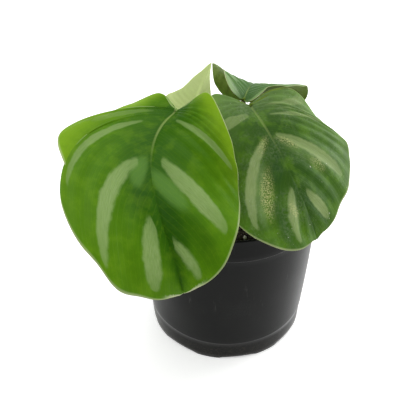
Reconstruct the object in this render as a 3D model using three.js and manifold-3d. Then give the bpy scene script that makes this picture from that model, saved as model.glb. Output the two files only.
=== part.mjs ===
// A young potted calathea: a thin plastic nursery pot, potting mix with a rhizome and roots,
// and four broad leaves, each with its own petiole and pulvinus.
// Millimetres, +Z up. The origin is the middle of the pot's underside, on the surface it stands on.
import * as THREE from 'three';
import { mergeVertices } from 'three/addons/utils/BufferGeometryUtils.js';
import Module from 'manifold-3d';

const wasm = await Module();
wasm.setup();

// Pot
const POT_HEIGHT = 98;
const POT_TOP_RADIUS = 52.5;
const POT_BASE_RADIUS = 46.5;
const POT_WALL = 1.1;
const POT_SEGMENTS = 48;
const RIM_BAND = 14;
const STEP_HEIGHT = 14;
const STEP_DEPTH = 0.3;
const FLOOR_LIFT = 4;
const FLOOR_THICKNESS = 1.3;
const PAD_RADIUS = 14;
const SKIRT_RADIUS = 44;
const DRAIN_HOLES = 6;
const DRAIN_RADIUS = 3.5;
const DRAIN_CIRCLE = 29;
const SKIRT_NOTCHES = 8;
const NOTCH_WIDTH = 22;
const NOTCH_HEIGHT = 1.4;
const NOTCH_TURN = THREE.MathUtils.degToRad(-82);

// Potting mix, rhizome and roots
const GAP = 0.3;
const MIX_TOP = 86.5;
const MIX_MOUND = 2;
const CROWN = new THREE.Vector3(-3, 6, 0);
const CROWN_RADIUS = 10;
const CROWN_TOP = 90;
const CROWN_DEPTH = 14;
const ROOTS = 5;
const ROOT_LENGTH = 46;
const ROOT_RADIUS = 2.4;
const ROOT_TILT = 38;

// Leaves
const BLADE_THICKNESS = 0.9;
const VEIN_STEPS = 26;
const CROSS_STEPS = 6;
const VEIN_START = 0.2;
const CURL_WIDTH = 45;
const SPINE_STEP = 0.5;

// Each blade hangs from "at", the point where it meets its stalk. "heading", "pitch" and "roll" turn
// the midrib and "fold" and "curl" the two halves, in degrees at its base, middle and tip.
// "waist" is the distance from the stalk to the widest place, "lobe" how far the base reaches back,
// and each of the "waves" swells or pinches the outline: its angle about the blade's middle (0 at
// the tip), its amount and its width. The stalk ends under the midrib, at "reach" from its base.
const LEAVES = {
  front_left: {
    at: [-27.7, -4.7, 146.1],
    length: 107, waist: 56, lobe: 17, roundness: 2.04, sinus: 0.29, bulge: 0.23, spread: 4.2, tip: 2,
    heading: [-126, -79, -51], pitch: [2, -27, -74], roll: [8, -3, 9],
    left: {
      width: 45, fold: [27, 5, 38], curl: [-11, -32, -27], lift: 5.3,
      waves: [[0.75, -0.026, 0.22], [2.1, -0.03, 0.22], [2.5, -0.024, 0.22]],
    },
    right: {
      width: 46.5, fold: [15, 9, 23], curl: [-42, 12, -24], lift: 8.8,
      waves: [
        [0.5, -0.03, 0.16], [1, -0.045, 0.16], [1.75, -0.115, 0.16], [2, 0.02, 0.16], [2.3, -0.04, 0.16],
        [2.55, -0.14, 0.17]],
    },
    stalk: { base: [-8, 2], reach: 5, colour: 0x8fa35f },
    colour: 0x86ab5a,
  },
  front_right: {
    at: [11.3, 6.6, 142.6],
    length: 82.5, waist: 45.5, lobe: 14.6, roundness: 2.33, sinus: 0.39, bulge: 0.26, spread: 3.6, tip: 2,
    heading: [-70, -54, -36], pitch: [1, -40, -68], roll: [-7, 0, -1],
    left: {
      width: 55.5, fold: [15, -4, 12], curl: [-54, -20, -23], lift: 7.7,
      waves: [
        [0.3, 0.055, 0.22], [0.75, -0.035, 0.22], [1.2, 0.015, 0.22], [1.65, 0.03, 0.22],
        [2.1, -0.075, 0.22], [2.5, 0.03, 0.22]],
    },
    right: {
      width: 39, fold: [16, -1, 13], curl: [-20, -37, -15], lift: 3,
      waves: [[1.65, 0.015, 0.22], [2.5, -0.015, 0.22]],
    },
    stalk: { base: [2, 2], reach: 5, colour: 0x86995a },
    colour: 0x5e8a52,
  },
  back_right: {
    at: [9, 31.5, 132.6],
    length: 50.5, waist: 27.5, lobe: 18.4, roundness: 2.3, sinus: 0.22, bulge: 0.24, spread: 3.6, tip: 2,
    heading: [78, 75, 86], pitch: [-2, -22, -104], roll: [10, -9, 2],
    left: { width: 26.5, fold: [46, 22, -8], curl: [-11, 6, -51], lift: 0, waves: [] },
    right: { width: 33.5, fold: [41, -2, -7], curl: [-20, -16, -48], lift: -3, waves: [] },
    stalk: { base: [2, 10], reach: 1.5, colour: 0x8a8f5c },
    colour: 0x5f8657,
  },
  young: {
    at: [-21.5, 20, 126.8],
    length: 36, waist: 9, lobe: 7, roundness: 1.1, sinus: 0.3, bulge: 0.24, spread: 3.6, tip: 2,
    heading: [-18, -8, 0], pitch: [73, 72, 69], roll: [-72, -70, -68],
    left: { width: 13, fold: [10, 20, 30], curl: [110, 130, 150], lift: 0, waves: [] },
    right: { width: 17.5, fold: [5, 5, 10], curl: [20, 30, 40], lift: 0, waves: [[0.75, -0.12, 0.45]] },
    stalk: { base: [-8, 10], reach: 5, colour: 0xa9b878 },
    colour: 0xb9c98a,
  },
};

// Stalks
const STALK_SHEATH_RADIUS = 2.7;
const STALK_RADIUS = 1.5;
const PULVINUS_RADIUS = 2.0;
const PULVINUS_SHARE = 0.16;
const STALK_SIDES = 10;
const STALK_STEPS = 18;
const STALK_BEND = 26;

const part = new THREE.Group();

function addMesh(name, geometry, colour, roughness) {
  const material = new THREE.MeshStandardMaterial({ color: colour, roughness, metalness: 0 });
  const mesh = new THREE.Mesh(geometry, material);
  mesh.name = name;
  part.add(mesh);
  return mesh;
}

// The geometry as a manifold-3d solid, its shared vertices merged.
function toSolid(geometry) {
  const bare = geometry.clone();
  bare.deleteAttribute('normal');
  bare.deleteAttribute('uv');
  const merged = mergeVertices(bare, 1e-3);
  return new wasm.Manifold(new wasm.Mesh({
    numProp: 3,
    vertProperties: merged.attributes.position.array,
    triVerts: new Uint32Array(merged.index.array),
  }));
}

function toGeometry(solid) {
  const mesh = solid.getMesh();
  const geometry = new THREE.BufferGeometry();
  geometry.setAttribute('position', new THREE.BufferAttribute(mesh.vertProperties, 3));
  geometry.setIndex(new THREE.BufferAttribute(mesh.triVerts, 1));
  geometry.computeVertexNormals();
  return geometry;
}

// A lathed solid about the vertical axis from radius and height pairs.
function lathe(profile, segments) {
  return new THREE.LatheGeometry(profile.map(([r, z]) => new THREE.Vector2(r, z)), segments)
    .rotateX(Math.PI / 2);
}

// --- Pot ---------------------------------------------------------------------------------------

const slope = (POT_TOP_RADIUS - 0.8 - POT_BASE_RADIUS) / (POT_HEIGHT - RIM_BAND);
const wallRadius = (z) => POT_BASE_RADIUS + slope * z;
const innerRadius = (z) => wallRadius(z) - POT_WALL;
const bandBottom = POT_HEIGHT - RIM_BAND;
const floorTop = FLOOR_LIFT + FLOOR_THICKNESS;

function makePot() {
  const profile = [
    [0, 0],
    [PAD_RADIUS, 0],
    [PAD_RADIUS + 1.5, FLOOR_LIFT],
    [SKIRT_RADIUS, FLOOR_LIFT],
    [SKIRT_RADIUS + 1, 0],
    [POT_BASE_RADIUS, 0],
    [wallRadius(STEP_HEIGHT), STEP_HEIGHT],
    [wallRadius(STEP_HEIGHT) + STEP_DEPTH, STEP_HEIGHT + 0.6],
    [wallRadius(bandBottom) + 0.1, bandBottom - 0.6],
    [wallRadius(bandBottom) + 0.9, bandBottom],
    [POT_TOP_RADIUS - 0.1, POT_HEIGHT - 0.5],
    [POT_TOP_RADIUS - 0.5, POT_HEIGHT],
    [POT_TOP_RADIUS - 1.1, POT_HEIGHT],
    [POT_TOP_RADIUS - 1.4, POT_HEIGHT - 0.6],
    [innerRadius(bandBottom), bandBottom],
    [innerRadius(floorTop), floorTop],
    [PAD_RADIUS + 0.6, floorTop],
    [PAD_RADIUS - 1, FLOOR_THICKNESS],
    [0, FLOOR_THICKNESS],
  ];
  let solid = toSolid(lathe(profile, POT_SEGMENTS));
  for (let i = 0; i < DRAIN_HOLES; i++) {
    const angle = (i + 0.5) * 2 * Math.PI / DRAIN_HOLES;
    const hole = new THREE.CylinderGeometry(DRAIN_RADIUS, DRAIN_RADIUS, 4 * FLOOR_THICKNESS, 14)
      .rotateX(Math.PI / 2)
      .translate(DRAIN_CIRCLE * Math.cos(angle), DRAIN_CIRCLE * Math.sin(angle), FLOOR_LIFT);
    solid = solid.subtract(toSolid(hole));
  }
  // Shallow arches along the bottom edge of the skirt let the water out.
  for (let i = 0; i < SKIRT_NOTCHES; i++) {
    const angle = NOTCH_TURN + i * 2 * Math.PI / SKIRT_NOTCHES;
    const notch = new THREE.CylinderGeometry(1, 1, 6, 16)
      .rotateZ(Math.PI / 2)
      .scale(1, NOTCH_WIDTH / 2, NOTCH_HEIGHT)
      .translate(POT_BASE_RADIUS - 1, 0, 0)
      .rotateZ(angle);
    solid = solid.subtract(toSolid(notch));
  }
  addMesh('nursery_pot', toGeometry(solid), 0x2b2c2e, 0.55);
}

// --- Rhizome, roots and potting mix -------------------------------------------------------------

// The rhizome with its roots, grown outward by "extra" all round.
function rootstock(extra, reach) {
  const crown = lathe([
    [0, CROWN_TOP - CROWN_DEPTH - extra],
    [CROWN_RADIUS * 0.6 + extra, CROWN_TOP - CROWN_DEPTH - extra],
    [CROWN_RADIUS + extra, CROWN_TOP - CROWN_DEPTH / 2],
    [CROWN_RADIUS + extra, CROWN_TOP - 1.5 + reach],
    [CROWN_RADIUS - 1.5 + extra, CROWN_TOP + reach],
    [0, CROWN_TOP + reach],
  ], 20);
  let solid = toSolid(crown);
  for (let i = 0; i < ROOTS; i++) {
    const root = lathe([
      [0, -extra],
      [ROOT_RADIUS + extra, 0],
      [ROOT_RADIUS * 0.8 + extra, ROOT_LENGTH * 0.5],
      [0.8 + extra, ROOT_LENGTH],
      [0, ROOT_LENGTH + 0.5 + extra],
    ], 8)
      .rotateX(Math.PI - ROOT_TILT * Math.PI / 180)
      .translate(0, 0, CROWN_TOP - CROWN_DEPTH * 0.55)
      .rotateZ((i + 0.25) * 2 * Math.PI / ROOTS);
    solid = solid.add(toSolid(root));
  }
  return solid;
}

function makeMix() {
  const edge = innerRadius(MIX_TOP) - GAP;
  const profile = [
    [0, FLOOR_THICKNESS + GAP],
    [PAD_RADIUS - 1.5, FLOOR_THICKNESS + GAP],
    [PAD_RADIUS + 0.2, floorTop + GAP],
    [innerRadius(floorTop + GAP) - GAP, floorTop + GAP],
    [innerRadius(bandBottom) - GAP, bandBottom],
    [edge, MIX_TOP],
    [edge * 0.75, MIX_TOP + MIX_MOUND * 0.6],
    [edge * 0.4, MIX_TOP + MIX_MOUND],
    [0, MIX_TOP + MIX_MOUND],
  ];
  const roots = rootstock(0, 0).translate([CROWN.x, CROWN.y, 0]);
  const pocket = rootstock(GAP, 2).translate([CROWN.x, CROWN.y, 0]);
  const mix = toSolid(lathe(profile, POT_SEGMENTS)).subtract(pocket);
  addMesh('potting_mix', toGeometry(mix), 0x3a2c22, 0.95);
  addMesh('rhizome', toGeometry(roots), 0x8a7550, 0.8);
}

// --- Blades --------------------------------------------------------------------------------------

const radians = (degrees) => degrees * Math.PI / 180;

// The quadratic through three values, at 0, 0.5 and 1.
const blend = ([a, b, c], x) => a * (1 - x) * (1 - 2 * x) + b * 4 * x * (1 - x) + c * x * (2 * x - 1);

// The flat outline's distance from the blade's middle at an angle, 0 at the tip and pi at the stalk:
// a superellipse with a notch at the base, a small point at the tip and the margin's waves.
function outline(leaf, half, angle) {
  const c = Math.cos(angle);
  const s = Math.sin(angle);
  const reach = c > 0 ? leaf.length - leaf.waist : leaf.waist + leaf.lobe;
  const n = leaf.roundness;
  let radius = (Math.abs(c / reach) ** n + Math.abs(s / half.width) ** n) ** (-1 / n);
  const notch = Math.exp(-(((Math.PI - angle) / leaf.sinus) ** 2));
  radius = radius * (1 - notch) + leaf.waist * notch;
  radius += leaf.tip * Math.exp(-((angle / 0.1) ** 2));
  for (const [at, amount, width] of half.waves) {
    radius *= 1 + amount * Math.exp(-(((angle - at) / width) ** 2));
  }
  return radius;
}

// The flat blade follows its side veins, which leave the midrib and bow toward the margin. "vein"
// runs from 0 at the base to 1 at the tip and "out" from 0 on the midrib to 1 on the margin.
function flatPoint(leaf, half, vein, out) {
  const start = leaf.length * vein ** leaf.spread;
  const angle = Math.PI * (1 - vein);
  const radius = outline(leaf, half, angle);
  const endP = leaf.waist + radius * Math.cos(angle);
  const endQ = radius * Math.sin(angle);
  const bow = leaf.bulge * Math.sin(Math.PI * vein) ** 0.7;
  const midP = (start + endP) / 2 - endQ * bow;
  const midQ = endQ / 2 + (endP - start) * bow;
  const p = (1 - out) ** 2 * start + 2 * out * (1 - out) * midP + out ** 2 * endP;
  const q = 2 * out * (1 - out) * midQ + out ** 2 * endQ;
  return [p, q];
}

// Points and frames along the midrib, found by following its heading and pitch in short steps.
function makeSpine(leaf) {
  const back = Math.ceil((leaf.lobe * 1.6 + 2) / SPINE_STEP);
  const ahead = Math.ceil((leaf.length + 4) / SPINE_STEP);
  const frames = [];
  for (let i = -back; i <= ahead; i++) {
    const x = Math.min(1.05, Math.max(-0.05, i * SPINE_STEP / leaf.length));
    const heading = radians(blend(leaf.heading, x));
    const pitch = radians(blend(leaf.pitch, x));
    const roll = radians(blend(leaf.roll, x));
    const along = new THREE.Vector3(
      Math.cos(pitch) * Math.cos(heading), Math.cos(pitch) * Math.sin(heading), Math.sin(pitch));
    const level = new THREE.Vector3(-Math.sin(heading), Math.cos(heading), 0);
    const across = level.applyAxisAngle(along, roll);
    const up = new THREE.Vector3().crossVectors(along, across);
    frames.push({ along, across, up, point: new THREE.Vector3() });
  }
  for (let i = 1; i < frames.length; i++) {
    const step = frames[i].along.clone().add(frames[i - 1].along).multiplyScalar(SPINE_STEP / 2);
    frames[i].point.copy(frames[i - 1].point).add(step);
  }
  const shift = new THREE.Vector3(...leaf.at).sub(frames[back].point);
  frames.forEach((frame) => frame.point.add(shift));
  return { back, frames };
}

function spineAt(spine, p) {
  const place = Math.min(spine.frames.length - 1.001, Math.max(0, p / SPINE_STEP + spine.back));
  const low = Math.floor(place);
  const mix = (key) => spine.frames[low][key].clone().lerp(spine.frames[low + 1][key], place - low);
  return { point: mix('point'), along: mix('along'), across: mix('across'), up: mix('up') };
}

// A point of the bent blade: each half folds up from the midrib and then curls along a circular arc,
// and the basal lobes lift.
function bladePoint(leaf, spine, side, vein, out) {
  const half = side > 0 ? leaf.left : leaf.right;
  const [p, q] = flatPoint(leaf, half, vein, out);
  const x = Math.min(1, Math.max(-0.2, p / leaf.length));
  const fold = radians(blend(half.fold, x));
  const curl = radians(blend(half.curl, x)) || 1e-3;
  const end = fold + curl * q / CURL_WIDTH;
  const sideways = (Math.sin(end) - Math.sin(fold)) * CURL_WIDTH / curl;
  const lobe = half.lift * Math.max(0, -(p - 4) / leaf.lobe) ** 1.5;
  const upward = (Math.cos(fold) - Math.cos(end)) * CURL_WIDTH / curl + lobe;
  const frame = spineAt(spine, p);
  return frame.point.addScaledVector(frame.across, side * sideways).addScaledVector(frame.up, upward);
}

// The blade's closed solid: both halves on one sheet, thickened by half each way along the normals.
function makeBlade(leaf) {
  const spine = makeSpine(leaf);
  const points = [];
  const seen = new Map();
  const vertex = (side, i, j) => {
    const vein = i / VEIN_STEPS;
    let key = side + ',' + i + ',' + j;
    if (i === 0 || (j === 0 && vein < VEIN_START)) key = 'base';
    else if (j === 0 || i === VEIN_STEPS) key = 'mid,' + i + ',' + j;
    if (!seen.has(key)) {
      seen.set(key, points.length);
      points.push(key === 'base' ? new THREE.Vector3(...leaf.at)
        : bladePoint(leaf, spine, side, vein, j / CROSS_STEPS));
    }
    return seen.get(key);
  };
  const sheet = [];
  const rim = [];
  const addFace = (a, b, c) => {
    if (a !== b && b !== c && c !== a) sheet.push([a, b, c]);
  };
  for (const side of [1, -1]) {
    for (let i = 0; i < VEIN_STEPS; i++) {
      for (let j = 0; j < CROSS_STEPS; j++) {
        const corners = [
          vertex(side, i, j), vertex(side, i + 1, j), vertex(side, i + 1, j + 1), vertex(side, i, j + 1)];
        if (side < 0) corners.reverse();
        addFace(corners[0], corners[1], corners[2]);
        addFace(corners[0], corners[2], corners[3]);
      }
      const edge = [vertex(side, i + 1, CROSS_STEPS), vertex(side, i, CROSS_STEPS)];
      rim.push(side > 0 ? edge : edge.reverse());
    }
  }
  const normals = points.map(() => new THREE.Vector3());
  for (const face of sheet) {
    const [a, b, c] = face.map((k) => points[k]);
    const normal = b.clone().sub(a).cross(c.clone().sub(a));
    face.forEach((k) => normals[k].add(normal));
  }
  const positions = [];
  for (const way of [0.5, -0.5]) {
    points.forEach((point, k) => {
      const offset = normals[k].clone().normalize().multiplyScalar(way * BLADE_THICKNESS);
      positions.push(...point.clone().add(offset).toArray());
    });
  }
  const count = points.length;
  const index = [];
  sheet.forEach(([a, b, c]) => index.push(a, b, c, a + count, c + count, b + count));
  rim.forEach(([a, b]) => index.push(b, a, a + count, b, a + count, b + count));
  const geometry = new THREE.BufferGeometry();
  geometry.setAttribute('position', new THREE.Float32BufferAttribute(positions, 3));
  geometry.setIndex(index);
  geometry.computeVertexNormals();
  return { geometry, spine };
}

// --- Stalks --------------------------------------------------------------------------------------

// A round closed solid along part of a curve, its radius given at each share of the whole length.
function sweep(curve, from, to, steps, radiusAt) {
  const positions = [];
  const index = [];
  for (let i = 0; i <= steps; i++) {
    const share = from + (to - from) * i / steps;
    const centre = curve.getPointAt(share);
    const along = curve.getTangentAt(share);
    const first = new THREE.Vector3(1, 0, 0).cross(along).normalize();
    const second = along.clone().cross(first);
    for (let k = 0; k < STALK_SIDES; k++) {
      const angle = 2 * Math.PI * k / STALK_SIDES;
      positions.push(...centre.clone()
        .addScaledVector(first, radiusAt(share) * Math.cos(angle))
        .addScaledVector(second, radiusAt(share) * Math.sin(angle)).toArray());
      if (i < steps) {
        const a = i * STALK_SIDES + k;
        const b = i * STALK_SIDES + (k + 1) % STALK_SIDES;
        index.push(a, b, b + STALK_SIDES, a, b + STALK_SIDES, a + STALK_SIDES);
      }
    }
  }
  const last = steps * STALK_SIDES;
  for (let k = 1; k < STALK_SIDES - 1; k++) {
    index.push(0, k + 1, k, last, last + k, last + k + 1);
  }
  const geometry = new THREE.BufferGeometry();
  geometry.setAttribute('position', new THREE.Float32BufferAttribute(positions, 3));
  geometry.setIndex(index);
  geometry.computeVertexNormals();
  return geometry;
}

// The stalk rises from the crown, bends over and ends in the pulvinus, just under the midrib's base.
function makeStalk(name, leaf, spine) {
  const below = BLADE_THICKNESS / 2 + GAP + PULVINUS_RADIUS;
  const top = spineAt(spine, leaf.stalk.reach);
  const root = spineAt(spine, 0);
  const end = top.point.clone().addScaledVector(top.up, -below);
  const base = new THREE.Vector3(...leaf.stalk.base, CROWN_TOP + GAP);
  const approach = end.clone().addScaledVector(root.along, -STALK_BEND).addScaledVector(root.up, -8);
  const rise = base.clone().add(new THREE.Vector3(0, 0, (end.z - base.z) * 0.5));
  const curve = new THREE.CubicBezierCurve3(base, rise, approach, end);
  const radiusAt = (share) => {
    const sheath = Math.max(0, 1 - share / 0.45);
    return STALK_RADIUS + (STALK_SHEATH_RADIUS - STALK_RADIUS) * sheath ** 0.7;
  };
  const joint = 1 - PULVINUS_SHARE;
  const gapShare = GAP / curve.getLength();
  addMesh('petiole_' + name, sweep(curve, 0, joint, STALK_STEPS, radiusAt), leaf.stalk.colour, 0.5);
  const swell = (share) => STALK_RADIUS
    + (PULVINUS_RADIUS - STALK_RADIUS) * Math.sin(Math.PI * (share - joint) / PULVINUS_SHARE);
  addMesh('pulvinus_' + name, sweep(curve, joint + gapShare, 1, 6, swell), 0x8d8558, 0.6);
}

makePot();
makeMix();
for (const [name, leaf] of Object.entries(LEAVES)) {
  const { geometry, spine } = makeBlade(leaf);
  addMesh('blade_' + name, geometry, leaf.colour, 0.4);
  makeStalk(name, leaf, spine);
}

export default part;
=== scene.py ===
# %% [markdown]
# # A young potted calathea
#
# The plant has four broad leaves on short stalks. Two large ones hang over the front of a thin
# black nursery pot, one droops away behind, and a pale young one still stands half rolled.
# The frame below is the solid model of the same plant. Every piece made here, except the loose
# crumbs and grains, takes the place of one of its nodes, in the same axes: +Z up, origin under the
# middle of the pot.

# %% Load the frame
import math

import bpy
import numpy as np
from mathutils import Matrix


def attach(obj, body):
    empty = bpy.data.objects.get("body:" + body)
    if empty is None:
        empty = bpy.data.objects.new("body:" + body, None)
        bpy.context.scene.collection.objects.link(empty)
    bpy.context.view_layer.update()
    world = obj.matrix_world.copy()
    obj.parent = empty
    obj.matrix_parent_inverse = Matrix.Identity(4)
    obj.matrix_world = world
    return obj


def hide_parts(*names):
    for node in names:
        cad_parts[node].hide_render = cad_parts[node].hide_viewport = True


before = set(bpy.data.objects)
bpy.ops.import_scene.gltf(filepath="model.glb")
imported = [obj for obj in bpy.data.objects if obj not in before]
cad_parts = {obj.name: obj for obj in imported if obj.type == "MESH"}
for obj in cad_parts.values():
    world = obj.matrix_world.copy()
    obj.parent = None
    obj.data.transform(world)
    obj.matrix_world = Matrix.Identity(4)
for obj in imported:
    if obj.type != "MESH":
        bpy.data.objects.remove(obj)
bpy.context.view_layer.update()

MM = 0.001

# %% [markdown]
# ## Studio, lights and camera
#
# A white, faintly glowing floor under a wide soft lamp gives the flat light of a catalogue picture,
# and a dim sky fills the shadows without greying the leaves. A lamp at the right draws the bright
# line down the pot's edge, and one on the left gives the plastic its grey sheen. The camera looks
# down at 38.6 degrees through a long lens, so the pot narrows only slightly towards its foot.

# %% Camera
CAMERA_PITCH = 38.6
CAMERA_DISTANCE = 0.420
CAMERA_TARGET = (-0.0114, 0.0, 0.0786)

scene = bpy.context.scene
camera_data = bpy.data.cameras.new("camera")
camera_data.lens = 62.3
camera_data.sensor_width = 36.0
camera_data.clip_start = 0.01
camera = bpy.data.objects.new("camera", camera_data)
pitch = math.radians(CAMERA_PITCH)
camera.location = (
    CAMERA_TARGET[0],
    CAMERA_TARGET[1] - CAMERA_DISTANCE * math.cos(pitch),
    CAMERA_TARGET[2] + CAMERA_DISTANCE * math.sin(pitch),
)
camera.rotation_euler = (math.pi / 2 - pitch, 0.0, 0.0)
scene.collection.objects.link(camera)
scene.camera = camera
scene.view_settings.view_transform = "Standard"
print("camera at", [round(v, 4) for v in camera.location])

# %% World, lamps and floor
world = bpy.data.worlds.new("studio")
scene.world = world
world.use_nodes = True
sky = world.node_tree.nodes["Background"]
sky.inputs["Color"].default_value = (1.0, 1.0, 1.0, 1.0)
sky.inputs["Strength"].default_value = 0.55


def add_lamp(name, place, aim, size, power):
    """A square area lamp at a place, turned so that its light points at the aim."""
    data = bpy.data.lights.new(name, "AREA")
    data.size = size
    data.energy = power
    lamp = bpy.data.objects.new(name, data)
    lamp.location = place
    away = np.array(place) - np.array(aim)
    away = away / np.linalg.norm(away)
    lamp.rotation_euler = (math.acos(away[2]), 0.0, math.atan2(away[0], -away[1]))
    scene.collection.objects.link(lamp)


add_lamp("overhead", (0.15, 0.25, 1.40), (0.0, 0.0, 0.0), 1.6, 20.0)
add_lamp("right_edge", (0.50, 0.32, 0.14), (0.0, 0.0, 0.05), 0.35, 2.6)
add_lamp("left_sheen", (-0.65, -0.25, 0.40), (0.0, 0.0, 0.08), 0.4, 1.4)

FLOOR_REACH = 20.0
floor_mesh = bpy.data.meshes.new("floor")
corners = [(x * FLOOR_REACH, y * FLOOR_REACH, 0) for x, y in ((-1, -1), (1, -1), (1, 1), (-1, 1))]
floor_mesh.from_pydata(corners, [], [(0, 1, 2, 3)])
floor = bpy.data.objects.new("floor", floor_mesh)
scene.collection.objects.link(floor)

# %% [markdown]
# ## Helpers for surfaces and materials
#
# Each piece is a grid of points worked out at once with numpy. A small helper turns points and
# faces into a mesh, with one number per vertex for each pattern that a material will read.

# %% Mesh helper
def make_piece(name, points, faces, replaces, materials, uv=None, marks=None,
               material_index=None):
    """A mesh object from points in millimetres and triangles, riding on the whole plant."""
    mesh = bpy.data.meshes.new(name)
    mesh.vertices.add(len(points))
    mesh.vertices.foreach_set("co", (points * MM).astype(np.float32).ravel())
    mesh.loops.add(faces.size)
    mesh.loops.foreach_set("vertex_index", faces.ravel().astype(np.int32))
    mesh.polygons.add(len(faces))
    mesh.polygons.foreach_set("loop_start", np.arange(0, faces.size, 3, dtype=np.int32))
    if material_index is not None:
        mesh.polygons.foreach_set("material_index", material_index.astype(np.int32))
    mesh.update(calc_edges=True)
    if uv is not None:
        layer = mesh.uv_layers.new(name="surface")
        layer.data.foreach_set("uv", uv.astype(np.float32).ravel())
    for key, values in (marks or {}).items():
        attribute = mesh.attributes.new(key, "FLOAT", "POINT")
        attribute.data.foreach_set("value", values.astype(np.float32))
    mesh.validate()
    mesh.polygons.foreach_set("use_smooth", np.ones(len(mesh.polygons), dtype=bool))
    for material in materials:
        mesh.materials.append(material)
    piece = bpy.data.objects.new(name, mesh)
    scene.collection.objects.link(piece)
    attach(piece, "root")
    if replaces:
        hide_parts(*replaces)
    return piece


def split(quads):
    """Two triangles for each quad."""
    return np.concatenate([quads[:, [0, 1, 2]], quads[:, [0, 2, 3]]])


def capped_faces(rows, around):
    """The triangles of a tube of rings, closed at each end by a fan to one more point."""
    left = np.arange(rows * around).reshape(rows, around)
    right = np.roll(left, -1, axis=1)
    quads = np.stack([left[:-1], right[:-1], right[1:], left[1:]], axis=-1).reshape(-1, 4)
    start, end = np.full(around, rows * around), np.full(around, rows * around + 1)
    return np.concatenate([split(quads), np.stack([start, right[0], left[0]], axis=-1),
                           np.stack([end, left[-1], right[-1]], axis=-1)])


# %% Material helpers
class Shader:
    """A short way to write a node tree: most calls add a node and return its output."""

    def __init__(self, tree):
        self.tree = tree

    def feed(self, node, values):
        """Link or set the named inputs; a colour is three numbers and gets its alpha here."""
        for key, value in values.items():
            socket = node.inputs[key]
            if isinstance(value, bpy.types.NodeSocket):
                self.tree.links.new(value, socket)
            else:
                socket.default_value = (*value, 1.0) if socket.type == "RGBA" else value

    def add(self, kind, values=None, output=0, **settings):
        node = self.tree.nodes.new(kind)
        for key, value in settings.items():
            setattr(node, key, value)
        self.feed(node, values or {})
        return node.outputs[output]

    def math(self, operation, *values):
        return self.add("ShaderNodeMath", dict(enumerate(values)), operation=operation)

    def times(self, a, b):
        return self.math("MULTIPLY", a, b)

    def times_add(self, a, b, c):
        return self.math("MULTIPLY_ADD", a, b, c)

    def mix(self, factor, a, b):
        return self.add("ShaderNodeMix", {0: factor, 6: a, 7: b}, output=2, data_type="RGBA")

    def ramp(self, value, low, high, to_low=0.0, to_high=1.0):
        return self.add("ShaderNodeMapRange", {0: value, 1: low, 2: high, 3: to_low, 4: to_high},
                        interpolation_type="SMOOTHSTEP")

    def noise(self, vector, scale, detail=3.0, rough=0.5):
        return self.add("ShaderNodeTexNoise", {"Vector": vector, "Scale": scale, "Detail": detail,
                                               "Roughness": rough})

    def place(self, factors=(1.0, 1.0, 1.0)):
        """Where a point lies on the plant, in metres, times the factors."""
        return self.scaled(self.add("ShaderNodeTexCoord", output=3), factors)

    def scaled(self, vector, factors):
        return self.add("ShaderNodeMapping", {0: vector, 3: factors})

    def height(self):
        """How high a point lies, in metres."""
        return self.add("ShaderNodeSeparateXYZ", {0: self.place()}, output=2)

    def attribute(self, name):
        return self.add("ShaderNodeAttribute", output=2, attribute_name=name)

    def bump(self, height, strength, distance=0.0002):
        return self.add("ShaderNodeBump", {"Strength": strength, "Distance": distance,
                                           "Height": height})

    def group(self, tree, **values):
        """A node group with its inputs set; returns its outputs."""
        node = self.tree.nodes.new("ShaderNodeGroup")
        node.node_tree = tree
        self.feed(node, values)
        return node.outputs


def new_material(name):
    """A node material; returns it, its Shader and its Principled shader node."""
    material = bpy.data.materials.new(name)
    material.use_nodes = True
    return material, Shader(material.node_tree), material.node_tree.nodes["Principled BSDF"]


# %% Floor material
floor_material, s, principled = new_material("studio_floor")
floor_mesh.materials.append(floor_material)
s.feed(principled, {
    "Base Color": s.mix(s.noise(s.place(), 3.0), (0.93, 0.93, 0.93), (0.95, 0.95, 0.95)),
    "Roughness": 0.9, "Specular IOR Level": 0.1,
    "Emission Color": (1.0, 1.0, 1.0), "Emission Strength": 0.38})
print("helpers ready")

# %% [markdown]
# ## The shape of a calathea leaf
#
# A calathea blade is nearly round, with a notch where the stalk joins, and its side veins leave
# the midrib at a steep angle and bow out to the margin. It could be sculpted, but a formula keeps
# the veins, bands and margin in step: the blade is a function of "vein", which runs from the base
# to the tip, and "out", which runs from the midrib to the margin. The flat blade is then carried
# along a bent midrib, where each half folds up and curls.

# %% Leaf sizes, in millimetres and degrees
CURL_WIDTH = 45.0
TIP_POINT = 2.0
SPINE_STEP = 0.5

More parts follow.
